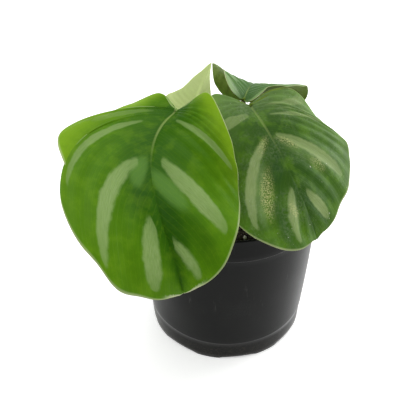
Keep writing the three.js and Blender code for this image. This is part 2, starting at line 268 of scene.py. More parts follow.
LEAVES = {
    "front_left": dict(
        at=(-27.7, -4.7, 146.1), length=107.0, waist=56.0, lobe=17.0, roundness=2.04, sinus=0.29,
        bulge=0.23, spread=4.2,
        heading=(-126, -79, -51), pitch=(2, -27, -74), roll=(8, -3, 9),
        left=dict(width=45.0, fold=(27, 5, 38), curl=(-11, -32, -27), lift=5.3,
                  waves=((0.75, -0.026, 0.22), (2.1, -0.03, 0.22), (2.5, -0.024, 0.22))),
        right=dict(width=46.5, fold=(15, 9, 23), curl=(-42, 12, -24), lift=8.8,
                   waves=((0.5, -0.03, 0.16), (1.0, -0.045, 0.16), (1.75, -0.115, 0.16),
                          (2.0, 0.02, 0.16), (2.3, -0.04, 0.16), (2.55, -0.14, 0.17))),
        stalk_base=(-8, 2), stalk_reach=5.0),
    "front_right": dict(
        at=(11.3, 6.6, 142.6), length=82.5, waist=45.5, lobe=14.6, roundness=2.33, sinus=0.39,
        bulge=0.26, spread=3.6,
        heading=(-70, -54, -36), pitch=(1, -40, -68), roll=(-7, 0, -1),
        left=dict(width=55.5, fold=(15, -4, 12), curl=(-54, -20, -23), lift=7.7,
                  waves=((0.3, 0.055, 0.22), (0.75, -0.035, 0.22), (1.2, 0.015, 0.22),
                         (1.65, 0.03, 0.22), (2.1, -0.075, 0.22), (2.5, 0.03, 0.22))),
        right=dict(width=39.0, fold=(16, -1, 13), curl=(-20, -37, -15), lift=3.0,
                   waves=((1.65, 0.015, 0.22), (2.5, -0.015, 0.22))),
        stalk_base=(2, 2), stalk_reach=5.0),
    "back_right": dict(
        at=(9.0, 31.5, 132.6), length=50.5, waist=27.5, lobe=18.4, roundness=2.3, sinus=0.22,
        bulge=0.24, spread=3.6,
        heading=(78, 75, 86), pitch=(-2, -22, -104), roll=(10, -9, 2),
        left=dict(width=26.5, fold=(46, 22, -8), curl=(-11, 6, -51), lift=0.0),
        right=dict(width=33.5, fold=(41, -2, -7), curl=(-20, -16, -48), lift=-3.0),
        stalk_base=(2, 10), stalk_reach=1.5),
    "young": dict(
        at=(-21.5, 20.0, 126.8), length=36.0, waist=9.0, lobe=7.0, roundness=1.1, sinus=0.3,
        bulge=0.24, spread=3.6,
        heading=(-18, -8, 0), pitch=(73, 72, 69), roll=(-72, -70, -68),
        left=dict(width=13.0, fold=(10, 20, 30), curl=(110, 130, 150), lift=0.0),
        right=dict(width=17.5, fold=(5, 5, 10), curl=(20, 30, 40), lift=0.0,
                   waves=((0.75, -0.12, 0.45),)),
        stalk_base=(-8, 10), stalk_reach=5.0),
}
print(len(LEAVES), "leaves")


# %% Flat outline and side veins
def blend(values, x):
    """The quadratic through three values, at 0, 0.5 and 1."""
    a, b, c = values
    return a * (1 - x) * (1 - 2 * x) + b * 4 * x * (1 - x) + c * x * (2 * x - 1)


def outline(leaf, half, angle):
    """Distance from the blade's middle at an angle, 0 at the tip and pi at the stalk: a
    superellipse, pulled in at the notch, with a small point at the tip, times the margin's waves."""
    c, s = np.cos(angle), np.sin(angle)
    reach = np.where(c > 0, leaf["length"] - leaf["waist"], leaf["waist"] + leaf["lobe"])
    n = leaf["roundness"]
    radius = (np.abs(c / reach) ** n + np.abs(s / half["width"]) ** n) ** (-1 / n)
    notch = np.exp(-(((np.pi - angle) / leaf["sinus"]) ** 2))
    radius = radius * (1 - notch) + leaf["waist"] * notch
    radius = radius + TIP_POINT * np.exp(-((angle / 0.1) ** 2))
    for at, amount, width in half.get("waves", ()):
        radius = radius * (1 + amount * np.exp(-(((angle - at) / width) ** 2)))
    return radius


def flat_blade(leaf, half, vein, out):
    """Distance along (p) and out from (q) the midrib: each side vein is a quadratic curve from the
    midrib to the margin, bowed towards the base."""
    start = leaf["length"] * vein ** leaf["spread"]
    angle = np.pi * (1 - vein)
    radius = outline(leaf, half, angle)
    end_p = leaf["waist"] + radius * np.cos(angle)
    end_q = radius * np.sin(angle)
    bow = leaf["bulge"] * np.sin(np.pi * vein).clip(0) ** 0.7
    mid_p = (start + end_p) / 2 - end_q * bow
    mid_q = end_q / 2 + (end_p - start) * bow
    p = (1 - out) ** 2 * start + 2 * out * (1 - out) * mid_p + out ** 2 * end_p
    q = 2 * out * (1 - out) * mid_q + out ** 2 * end_q
    return p, q


# %% Bent midrib and blade
def make_spine(leaf):
    """Points and frames every half millimetre along the midrib: its direction turns with the
    heading and pitch, and the points are the running sum of the directions."""
    back = math.ceil((leaf["lobe"] * 1.6 + 2) / SPINE_STEP)
    ahead = math.ceil((leaf["length"] + 4) / SPINE_STEP)
    x = (np.arange(-back, ahead + 1) * SPINE_STEP / leaf["length"]).clip(-0.05, 1.05)
    heading, pitch, roll = (np.radians(blend(leaf[k], x)) for k in ("heading", "pitch", "roll"))
    along = np.stack([np.cos(pitch) * np.cos(heading), np.cos(pitch) * np.sin(heading),
                      np.sin(pitch)], axis=-1)
    level = np.stack([-np.sin(heading), np.cos(heading), 0 * heading], axis=-1)
    normal = np.cross(along, level)
    across = level * np.cos(roll)[:, None] + normal * np.sin(roll)[:, None]
    steps = (along[1:] + along[:-1]) * SPINE_STEP / 2
    points = np.concatenate([np.zeros((1, 3)), np.cumsum(steps, axis=0)])
    points += np.array(leaf["at"]) - points[back]
    return dict(back=back, point=points, along=along, across=across, up=np.cross(along, across))


def spine_at(spine, p, key):
    """A value along the midrib at distance p, between the two nearest samples."""
    samples = spine[key]
    place = (np.asarray(p) / SPINE_STEP + spine["back"]).clip(0, len(samples) - 1.001)
    low = place.astype(int)
    share = (place - low)[..., None]
    return samples[low] * (1 - share) + samples[low + 1] * share


def bend_blade(leaf, spine, side, vein, out, relief=0.0):
    """The bent blade: each half folds up from the midrib and curls on a circular arc, the basal
    lobes lift, and the relief is added along the midrib's upward direction."""
    half = leaf["left"] if side > 0 else leaf["right"]
    p, q = flat_blade(leaf, half, vein, out)
    x = (p / leaf["length"]).clip(-0.2, 1)
    fold = np.radians(blend(half["fold"], x))
    curl = np.radians(blend(half["curl"], x))
    curl = np.where(np.abs(curl) < 1e-3, 1e-3, curl)
    end = fold + curl * q / CURL_WIDTH
    sideways = (np.sin(end) - np.sin(fold)) * CURL_WIDTH / curl
    lobe = half["lift"] * (-(p - 4) / leaf["lobe"]).clip(0) ** 1.5
    upward = (np.cos(fold) - np.cos(end)) * CURL_WIDTH / curl + lobe + relief
    return (spine_at(spine, p, "point") + spine_at(spine, p, "across") * (side * sideways)[..., None]
            + spine_at(spine, p, "up") * upward[..., None])


# %% [markdown]
# ## Bands, flecks and relief on the blades
#
# The silvery bands of a calathea follow the side veins. Each band is a smooth hill in the "vein"
# direction that fades in near the midrib and out before the margin, stored at each vertex as a
# field and a strength. Cream, dark and pale patches are stored as strengths. The surface itself is
# gently quilted between the side veins, ripples along the margin, and has a groove above and a
# keel below the midrib.

# %% Where the bands lie
# Each band: side (+1 left, -1 right), vein halfway out, its drift from midrib to margin, half
# width, where it starts and ends, strength.
BANDS = {
    "front_left": (
        (-1, 0.39, -0.03, 0.02, 0.15, 0.7, 0.35), (-1, 0.567, 0.0, 0.021, 0.13, 0.86, 0.8),
        (-1, 0.745, -0.05, 0.025, 0.1, 0.97, 1.0), (-1, 0.892, 0.0, 0.028, 0.16, 0.93, 0.95),
        (1, 0.49, -0.1, 0.032, 0.08, 0.86, 0.7), (1, 0.776, 0.01, 0.033, 0.08, 0.93, 1.0),
        (1, 0.932, 0.0, 0.013, 0.12, 0.92, 0.95)),
    "front_right": (
        (1, 0.285, -0.2, 0.02, 0.1, 0.92, 0.65), (1, 0.365, -0.22, 0.012, 0.15, 0.85, 0.4),
        (1, 0.435, -0.24, 0.02, 0.06, 0.9, 0.65), (1, 0.695, 0.0, 0.026, 0.03, 0.88, 0.85),
        (1, 0.886, 0.0, 0.021, 0.18, 0.87, 1.0), (-1, 0.4, -0.25, 0.045, 0.08, 0.7, 0.65),
        (-1, 0.693, -0.01, 0.025, 0.08, 0.93, 0.95), (-1, 0.868, 0.0, 0.019, 0.12, 0.95, 0.85)),
    "back_right": (
        (1, 0.35, 0.0, 0.028, 0.15, 0.85, 0.5), (1, 0.6, 0.0, 0.028, 0.2, 0.9, 0.9),
        (1, 0.8, 0.0, 0.024, 0.2, 0.9, 0.8), (-1, 0.35, 0.0, 0.028, 0.15, 0.85, 0.5),
        (-1, 0.55, 0.0, 0.028, 0.2, 0.9, 0.9), (-1, 0.75, 0.0, 0.024, 0.2, 0.9, 0.9)),
    "young": ((-1, 0.45, 0.0, 0.03, 0.2, 0.8, 0.3), (-1, 0.7, 0.0, 0.03, 0.2, 0.8, 0.3)),
}
# Patches: side, vein, out, half sizes in vein and out, strength. The cream ones are stippled, the
# pale ones are a painted sheen in soft grey-green and the dark ones are painted shade that deepens
# the green in the folds.
PATCHES = {
    "cream": {
        "front_right": ((-1, 0.762, 0.5, 0.026, 0.21, 1.0), (-1, 0.876, 0.44, 0.02, 0.1, 0.9),
                        (1, 0.745, 0.48, 0.022, 0.1, 0.6), (1, 0.716, 0.14, 0.02, 0.09, 0.7),
                        (-1, 0.7, 0.14, 0.02, 0.09, 0.6))},
    "dark": {
        "front_left": ((1, 0.905, 0.22, 0.045, 0.3, 0.85), (-1, 0.83, 0.16, 0.03, 0.12, 0.35),
                       (1, 0.87, 0.62, 0.035, 0.3, 0.5)),
        "front_right": ((-1, 0.79, 0.2, 0.03, 0.16, 0.8), (1, 0.91, 0.5, 0.02, 0.4, 0.6),
                        (-1, 0.815, 0.6, 0.025, 0.35, 0.55), (1, 0.81, 0.5, 0.03, 0.4, 0.45))},
    "pale": {
        "front_left": ((-1, 0.79, 0.14, 0.034, 0.11, 0.75), (1, 0.829, 0.2, 0.032, 0.24, 0.7)),
        "front_right": ((1, 0.74, 0.3, 0.03, 0.3, 0.45), (-1, 0.73, 0.55, 0.03, 0.32, 0.55),
                        (-1, 0.88, 0.5, 0.022, 0.32, 0.45))},
}
# Height of the quilting and how many folds it has, and the height of the margin's ripples.
QUILT = {"front_left": (0.28, 13), "front_right": (0.32, 15), "back_right": (0.35, 13),
         "young": (0.12, 16)}
RIPPLE = {"front_left": 0.9, "front_right": 0.8, "back_right": 0.7, "young": 0.4}
EDGE_SOFTNESS = 0.024
BAND_BLUNTNESS = 0.4


def smooth(low, high, value):
    """A soft step from 0 below low to 1 above high."""
    x = ((value - low) / (high - low)).clip(0, 1)
    return x * x * (3 - 2 * x)


def band_field(name, side, vein, out):
    """The nearest band at each point: a field that is one half on the band's edge and rises
    inward, and that band's strength. A band is widest and strongest halfway, with blunt ends."""
    field, strength = np.zeros_like(vein), np.zeros_like(vein)
    for band_side, at, drift, half_width, start, end, weight in BANDS[name]:
        if band_side == side:
            share = ((out - start) / (end - start)).clip(0, 1)
            width = half_width * np.sin(np.pi * share) ** BAND_BLUNTNESS
            away = np.abs(vein - at - drift * (out - 0.5))
            inside = (0.5 + (width - away) / EDGE_SOFTNESS).clip(0, 1) * smooth(0.0, 0.05, share)
            inside = inside * (1 - smooth(0.95, 1.0, share))
            faded = weight * (0.3 + 0.7 * np.sin(np.pi * share) ** 0.5)
            strength = np.where(inside > field, faded, strength)
            field = np.maximum(field, inside)
    return field, strength


def patch_strength(patches, side, vein, out):
    """The strongest patch at each point, a flat-topped oval bell."""
    best = np.zeros_like(vein)
    for patch_side, at, away, size, reach, strength in patches:
        if patch_side == side:
            far = ((vein - at) / size) ** 2 + ((out - away) / reach) ** 2
            best = np.maximum(best, strength * np.exp(-far ** 2 * 0.7))
    return best


def relief(name, vein, out, seed):
    """Quilting between the side veins and ripples along the margin, in millimetres."""
    height, count = QUILT[name]
    rng = np.random.default_rng(seed)
    quilt = height * np.cos(2 * np.pi * count * vein) * np.sin(np.pi * out) ** 0.7
    quilt = quilt * smooth(0.05, 0.3, vein) * (1 - smooth(0.93, 1.0, vein))
    ripple = np.zeros_like(vein)
    for count, phase, share in zip((3.1, 5.3, 8.7), rng.uniform(0, 2 * np.pi, 3), (0.7, 0.5, 0.3)):
        ripple = ripple + share * np.sin(2 * np.pi * count * vein + phase)
    ripple = ripple * RIPPLE[name] * out ** 4 * np.sin(np.pi * vein) ** 0.5
    return quilt + ripple


# %% Build one blade
VEIN_ROWS = 300
OUT_COLUMNS = 52
BASE_VEIN = 0.2
SHEET = 0.5
MARGIN_THINNING = 0.55
KEEL_DEPTH, KEEL_WIDTH = 1.1, 0.85
GROOVE_DEPTH, GROOVE_WIDTH = 0.28, 0.8


def half_blade(name, leaf, spine, side, vein, out, seed):
    """One half's points and normals, its flat place, and the numbers that the materials read."""
    points = bend_blade(leaf, spine, side, vein, out, relief(name, vein, out, seed))
    p, q = flat_blade(leaf, leaf["left" if side > 0 else "right"], vein, out)
    normal = np.cross(np.gradient(points, axis=0), np.gradient(points, axis=1)) * side
    length = np.linalg.norm(normal, axis=-1, keepdims=True)
    normal = np.where(length > 1e-7, normal / np.maximum(length, 1e-9), spine_at(spine, p, "up"))
    silver, weight = band_field(name, side, vein, out)
    marks = {key: patch_strength(patches.get(name, ()), side, vein, out)
             for key, patches in PATCHES.items()}
    return dict(points=points, normal=normal, p=p, q=q, across=0.5 + 0.5 * side * out,
                silver=silver, weight=weight, out=out, vein=vein, **marks)


def sheet_faces(ids, weld):
    """Triangles of the upper face, of the underside, whose points follow after the upper ones,
    and of the wall between them along the margin."""
    quads = []
    for block, order in zip(ids, (1, -1)):
        corners = [block[:-1, :-1], block[1:, :-1], block[1:, 1:], block[:-1, 1:]]
        quads.append(np.stack(corners[::order], axis=-1).reshape(-1, 4))
    top = split(np.concatenate(quads))
    a, b, c = weld[top].T
    top = top[(a != b) & (b != c) & (c != a)]
    count = ids.size
    here = np.concatenate([ids[0, 1:, -1], ids[1, :-1, -1]])
    there = np.concatenate([ids[0, :-1, -1], ids[1, 1:, -1]])
    wall = np.concatenate([np.stack([there, here, here + count], -1),
                           np.stack([there, here + count, there + count], -1)])
    return top, top[:, ::-1] + count, wall


def blade_piece(name, leaf, materials, seed):
    """Both halves as one welded sheet, thickened along its normals, with groove, keel and a thin
    margin; the upper face, the underside and the margin have a material each."""
    spine = make_spine(leaf)
    veins = np.linspace(0, 1, VEIN_ROWS)
    vein, out = np.meshgrid(veins, np.linspace(0, 1, OUT_COLUMNS) ** 1.35, indexing="ij")
    halves = [half_blade(name, leaf, spine, side, vein, out, seed) for side in (1, -1)]
    both = {key: np.concatenate([half[key].reshape(vein.size, *half[key].shape[2:]) for half in halves])
            for key in halves[0]}
    ids = np.arange(2 * vein.size).reshape(2, *vein.shape)
    weld = ids.copy()
    weld[:, 0, :] = 0
    weld[:, veins < BASE_VEIN, 0] = 0
    weld[1, :, 0] = weld[0, :, 0]
    weld[1, -1, :] = weld[0, -1, :]
    weld = weld.ravel()
    normal = np.zeros_like(both["normal"])
    np.add.at(normal, weld, both["normal"])
    normal /= np.maximum(np.linalg.norm(normal, axis=1, keepdims=True), 1e-9)
    thick = SHEET * (1 - MARGIN_THINNING * both["out"] ** 10)
    along = (both["p"] / leaf["length"]).clip(0, 1)
    keel = KEEL_DEPTH * np.exp(-((both["q"] / KEEL_WIDTH) ** 2)) * (1 - along) ** 0.6
    groove = GROOVE_DEPTH * np.exp(-((both["q"] / GROOVE_WIDTH) ** 2)) * (1 - along) ** 0.3
    points = np.concatenate([both["points"] + normal * (thick / 2 - groove)[:, None],
                             both["points"] - normal * (thick / 2 + keel)[:, None]])
    parts = sheet_faces(ids, weld)
    corners = np.concatenate(parts)
    used, faces = np.unique(np.concatenate([weld, weld + len(weld)])[corners], return_inverse=True)
    uv = np.tile(np.stack([both["vein"], both["across"]], axis=-1), (2, 1))
    marks = {key: np.tile(both[key], 2)[used]
             for key in ("silver", "weight", "cream", "pale", "dark", "out", "vein")}
    return make_piece("leaf_" + name, points[used], faces.reshape(-1, 3), ("blade_" + name,),
                      materials, uv[corners.ravel()], marks,
                      np.repeat([0, 1, 2], [len(part) for part in parts]))


# %% [markdown]
# ## Leaf finish
#
# The upper face is a smooth green that turns yellower towards the margin. Over it lie the silvery
# bands with uneven edges, the fine side veins, and a little mottling. Dust, which only the darker
# leaves carry, is a grey veil that also makes the surface less shiny. All the leaves use the same
# effects with different strengths, so the effects are node groups and the shader stays outside.

# %% Node group for the fine veins
def make_group(name, inputs, outputs):
    """An empty group of shader nodes, with its inputs' names and defaults and its outputs' names."""
    group = bpy.data.node_groups.new(name, "ShaderNodeTree")
    for key, default in inputs.items():
        socket = group.interface.new_socket(key, in_out="INPUT", socket_type="NodeSocketFloat")
        socket.default_value = default
    for key in outputs:
        group.interface.new_socket(key, in_out="OUTPUT", socket_type="NodeSocketFloat")
    enter = group.nodes.new("NodeGroupInput")
    return group, Shader(group), enter.outputs, group.nodes.new("NodeGroupOutput")


VEIN_COUNT = 62.0
veins_group, g, enter, leave = make_group(
    "leaf_veins", {"Count": VEIN_COUNT}, ("Lines", "Grain", "Margin", "Midrib"))
uv = g.add("ShaderNodeUVMap", uv_map="surface")
along = g.add("ShaderNodeSeparateXYZ", {0: uv}, output=0)
across = g.add("ShaderNodeSeparateXYZ", {0: uv}, output=1)
wobble = g.noise(g.scaled(uv, (6.0, 14.0, 1.0)), 1.0)
turn = g.times_add(wobble, 0.5, g.times(along, enter["Count"]))
lines = g.math("ABSOLUTE", g.math("SINE", g.times(turn, math.pi)))
away = g.math("ABSOLUTE", g.times_add(across, 2.0, -1.0))
g.feed(leave, {
    "Lines": g.ramp(lines, 0.0, 0.45, 1.0, 0.0),
    "Grain": g.noise(g.scaled(uv, (420.0, 22.0, 1.0)), 1.0, 4.0, 0.6),
    "Margin": g.ramp(away, 0.975, 0.995),
    "Midrib": g.ramp(away, 0.004, 0.016, 1.0, 0.0)})
print("vein group has", len(veins_group.nodes), "nodes")

# %% Node group for dust, mottling and flecks
dust_group, g, enter, leave = make_group(
    "leaf_surface", {"Dust": 0.0, "Mottle": 0.3}, ("Veil", "Blotch", "Speck"))
place = g.place()
cloud = g.ramp(g.noise(place, 60.0, 5.0, 0.65), 0.35, 0.75)
fine = g.ramp(g.noise(place, 900.0, 3.0, 0.7), 0.35, 0.7)
blotch = g.ramp(g.noise(place, 130.0, 4.0, 0.6), 0.3, 0.7, -1.0, 1.0)
g.feed(leave, {
    "Veil": g.times(g.times(cloud, fine), enter["Dust"]),
    "Blotch": g.times(blotch, enter["Mottle"]),
    "Speck": g.ramp(g.noise(place, 650.0, 2.0, 0.5), 0.74, 0.80)})
print("surface group has", len(dust_group.nodes), "nodes")


# %% Upper face material
def leaf_top(name, dark, deep, mid, edge, silver, pale, dust=0.0, mottle=0.25, rough=0.38, sheen=0.0,
             speck=0.0, gloss=0.05, reach=(0.35, 1.05), rib=0.40,
             tip=(0.480, 0.500, 0.320), tip_out=0.93):
    """Deep green by the midrib and the tip, yellower towards the margin and the base, then a painted
    sheen towards the base, painted shade in the dark patches, painted sheen in the pale patches,
    the bands, the cream stipple, the midrib, the margin, the dust and the specks."""
    material, s, principled = new_material(name)
    veins = s.group(veins_group, Count=VEIN_COUNT)
    surface = s.group(dust_group, Dust=dust, Mottle=mottle)
    grain = veins["Grain"]
    uneven = s.math("SUBTRACT", grain, 0.5)
    out = s.attribute("out")
    vein = s.attribute("vein")
    place = s.place()
    slow = s.math("SUBTRACT", s.noise(place, 24.0, 3.0, 0.5), 0.5)
    shifted = s.times_add(slow, 0.9, out)
    base_side = s.ramp(s.times_add(slow, 0.2, vein), 0.25, 0.65, 1.0, 0.0)
    yellow = s.times(s.ramp(shifted, *reach), s.times_add(base_side, 0.88, 0.12))
    base = s.mix(s.ramp(shifted, 0.0, 0.6), deep, mid)
    base = s.mix(yellow, base, edge)
    lighter = s.times(surface["Blotch"], 0.5)
    base = s.mix(s.math("MAXIMUM", lighter, 0.0), base, edge)
    base = s.mix(s.math("MAXIMUM", s.times(lighter, -1.0), 0.0), base, deep)
    # Painted sheen: the pale colour laid over the base half, as strong as the sheen argument.
    base = s.mix(s.times(base_side, sheen), base, pale)
    # Painted shade: the dark colour where the dark patches lie in the folds.
    base = s.mix(s.times(s.attribute("dark"), 0.9), base, dark)
    # Painted sheen: the pale colour in the pale patches, with uneven edges.
    patch = s.times(s.ramp(s.times_add(uneven, 0.5, s.attribute("pale")), 0.1, 0.6),
                   s.attribute("pale"))
    base = s.mix(patch, base, pale)
    base = s.mix(s.times(veins["Lines"], 0.06), base, edge)
    ragged = s.times_add(uneven, 0.45, s.attribute("silver"))
    ragged = s.times_add(s.math("SUBTRACT", s.noise(place, 170.0, 3.0, 0.6), 0.5), 0.8, ragged)
    mask = s.times(s.ramp(ragged, 0.22, 0.78), s.attribute("weight"))
    streak = s.mix(s.ramp(grain, 0.35, 0.70, 0.0, 0.35), silver, mid)
    base = s.mix(mask, base, streak)
    stipple = s.noise(place, 1500.0, 2.0, 0.6)
    cream = s.times(s.attribute("cream"), s.ramp(stipple, 0.38, 0.72))
    base = s.mix(cream, base, (0.40, 0.41, 0.17))
    ribbed = s.times(veins["Midrib"], s.ramp(vein, 0.62, 0.84, rib, 0.0))
    base = s.mix(ribbed, base, (0.33, 0.42, 0.13))
    base = s.mix(s.times(veins["Margin"], 0.6), base, (0.40, 0.45, 0.22))
    dried = s.times(s.ramp(s.times_add(uneven, 0.1, out), tip_out, tip_out + 0.05),
                   s.ramp(vein, 0.91, 0.96))
    base = s.mix(s.times(dried, 0.8), base, tip)
    base = s.mix(surface["Veil"], base, (0.36, 0.42, 0.30))
    base = s.mix(s.times(surface["Speck"], speck), base, (0.62, 0.63, 0.50))
    rougher = s.times_add(surface["Veil"], 0.5, rough)
    height = s.times_add(veins["Lines"], -0.6, s.times(grain, 0.5))
    s.feed(principled, {
        "Base Color": base, "Roughness": s.times_add(uneven, 0.18, rougher),
        "Normal": s.bump(height, 0.35), "Specular IOR Level": gloss, "Subsurface Weight": 0.05,
        "Subsurface Radius": (0.3, 0.6, 0.05), "Subsurface Scale": 0.002})
    return material


# %% Underside and margin materials
def leaf_under(name, base_colour, vein_colour, band_colour, rough=0.55, glow=None):
    """Paler and duller than the top, with the bands and veins faintly showing through. The glow
    stands for the light that comes through a thin young blade."""
    material, s, principled = new_material(name)
    veins = s.group(veins_group, Count=VEIN_COUNT)
    slow = s.noise(s.place(), 45.0, 4.0, 0.55)
    base = s.mix(s.ramp(slow, 0.3, 0.7), base_colour, vein_colour)
    base = s.mix(s.times(s.ramp(s.attribute("silver"), 0.2, 0.8), 0.45), base, band_colour)
    base = s.mix(s.times(veins["Lines"], 0.3), base, vein_colour)
    base = s.mix(s.times(veins["Midrib"], 0.7), base, vein_colour)
    height = s.math("ADD", veins["Lines"], s.times(veins["Grain"], 0.4))
    s.feed(principled, {
        "Base Color": base, "Roughness": s.times_add(veins["Grain"], 0.15, rough),
        "Normal": s.bump(height, 0.4), "Specular IOR Level": 0.08, "Subsurface Weight": 0.06,
        "Subsurface Radius": (0.3, 0.6, 0.1), "Subsurface Scale": 0.002})
    if glow is not None:
        s.feed(principled, {"Emission Color": glow, "Emission Strength": 1.0})
    return material


def leaf_margin(name, pale, dry):
    """The thin pale edge, dry and whitish in places."""
    material, s, principled = new_material(name)
    patchy = s.noise(s.place(), 80.0, 3.0, 0.6)
    s.feed(principled, {"Base Color": s.mix(s.ramp(patchy, 0.4, 0.65), pale, dry),
                        "Roughness": 0.6, "Specular IOR Level": 0.08})
    return material


# %% Make the four leaves
tops = {
    "front_left": leaf_top(
        "leaf_top_bright", (0.01, 0.05, 0.0006), (0.02, 0.078, 0.0008), (0.05, 0.14, 0.0012),
        (0.17, 0.31, 0.01), (0.195, 0.285, 0.095), (0.085, 0.19, 0.03), mottle=0.3, rough=0.36),
    # This leaf also has a painted grey-green sheen towards its base.
    "front_right": leaf_top(
        "leaf_top_dusty", (0.016, 0.05, 0.01), (0.024, 0.064, 0.007), (0.04, 0.1, 0.007),
        (0.095, 0.205, 0.01), (0.215, 0.285, 0.11), (0.135, 0.215, 0.075), dust=0.16, mottle=0.7,
        rough=0.46, sheen=0.45, speck=0.8, reach=(0.55, 1.1), rib=0.22, gloss=0.03,
        tip=(0.2, 0.13, 0.06), tip_out=0.97),
    "back_right": leaf_top(
        "leaf_top_back", (0.03, 0.09, 0.02), (0.05, 0.12, 0.028), (0.075, 0.155, 0.036),
        (0.15, 0.25, 0.08), (0.24, 0.34, 0.18), (0.15, 0.24, 0.11), dust=0.15, mottle=0.4, rough=0.4),
    "young": leaf_top(
        "leaf_top_young", (0.42, 0.52, 0.22), (0.42, 0.52, 0.22), (0.5, 0.6, 0.28),
        (0.58, 0.66, 0.34), (0.56, 0.64, 0.36), (0.52, 0.6, 0.32), mottle=0.2, rough=0.5),
}
under_dull = leaf_under("leaf_under_dull", (0.085, 0.14, 0.012), (0.13, 0.2, 0.03), (0.14, 0.21, 0.05))
under_bright = leaf_under("leaf_under_bright", (0.15, 0.26, 0.06), (0.21, 0.32, 0.09), (0.24, 0.33, 0.13))
under_young = leaf_under("leaf_under_young", (0.26, 0.33, 0.11), (0.33, 0.39, 0.17), (0.32, 0.38, 0.16),
                         glow=(0.23, 0.28, 0.11))
unders = {"front_left": under_bright, "front_right": under_dull, "back_right": under_dull,
          "young": under_young}
margin = leaf_margin("leaf_margin_pale", (0.3, 0.36, 0.14), (0.5, 0.5, 0.34))
margin_young = leaf_margin("leaf_margin_young", (0.5, 0.55, 0.28), (0.62, 0.63, 0.42))
for seed, (name, leaf) in enumerate(LEAVES.items()):
    edge = margin_young if name == "young" else margin
    piece = blade_piece(name, leaf, (tops[name], unders[name], edge), seed + 3)
    print(piece.name, len(piece.data.polygons), "faces")

# %% [markdown]
# ## Stalks and pulvini
#
# Each leaf's stalk starts as a sheath that clasps its neighbours at the crown, narrows to a thin
# round petiole, and ends in the pulvinus, a short swollen joint that turns the blade to the light.
# They are rings carried along a curve, with the radius and a groove set at each ring.

# %% Rings along a curve
def even_path(corners, count):
    """Points at equal distances along the cubic curve with four corner points, and its length."""
    a, b, c, d = corners
    t = np.linspace(0, 1, 400)[:, None]
    raw = a * (1 - t) ** 3 + 3 * b * t * (1 - t) ** 2 + 3 * c * t ** 2 * (1 - t) + d * t ** 3
    length = np.concatenate([[0], np.cumsum(np.linalg.norm(np.diff(raw, axis=0), axis=1))])
    want = np.linspace(0, length[-1], count)
    return np.stack([np.interp(want, length, raw[:, k]) for k in range(3)], axis=-1), length[-1]


def sweep(path, radius, around, groove=None):
    """Rings about a path: each has its own radius, and the groove pulls one side in; both ends are
    closed with a fan to a middle point."""
    along = np.gradient(path, axis=0)
    along /= np.linalg.norm(along, axis=1, keepdims=True)
    first = np.cross(np.array([1.0, 0.0, 0.0]), along)
    first /= np.linalg.norm(first, axis=1, keepdims=True)
    second = np.cross(along, first)
    angle = np.linspace(0, 2 * np.pi, around, endpoint=False)
    size = radius[:, None] * np.ones(around)
    if groove is not None:
        size = size * (1 - groove[:, None] * np.exp(-((angle - np.pi / 2) / 0.6) ** 2))
    ring = first[:, None] * np.cos(angle)[:, None] + second[:, None] * np.sin(angle)[:, None]
    points = (path[:, None] + ring * size[..., None]).reshape(-1, 3)
    return np.concatenate([points, path[:1], path[-1:]]), capped_faces(len(path), around)


# %% Stalk materials
def stalk_material(name, pale, dark, rough):
    """Smooth green tissue with fine lengthwise streaks and a browner foot."""
    material, s, principled = new_material(name)
    streaks = s.noise(s.place((900.0, 900.0, 60.0)), 1.0, 4.0, 0.6)
    base = s.mix(s.ramp(streaks, 0.3, 0.7), dark, pale)
    brown = s.times(s.ramp(s.height(), 0.090, 0.103, 1.0, 0.0), 0.7)
    base = s.mix(brown, base, (0.20, 0.13, 0.06))
    base = s.mix(s.times(s.noise(s.place(), 90.0, 3.0, 0.5), 0.3), base, dark)
    s.feed(principled, {
        "Base Color": base, "Roughness": s.times_add(streaks, 0.2, rough),
        "Normal": s.bump(streaks, 0.4), "Subsurface Weight": 0.1, "Subsurface Scale": 0.001})
    return material


petiole_material = stalk_material("petiole_green", (0.26, 0.36, 0.11), (0.15, 0.23, 0.06), 0.38)
pulvinus_material = stalk_material("pulvinus_brown", (0.30, 0.28, 0.12), (0.17, 0.14, 0.06), 0.55)

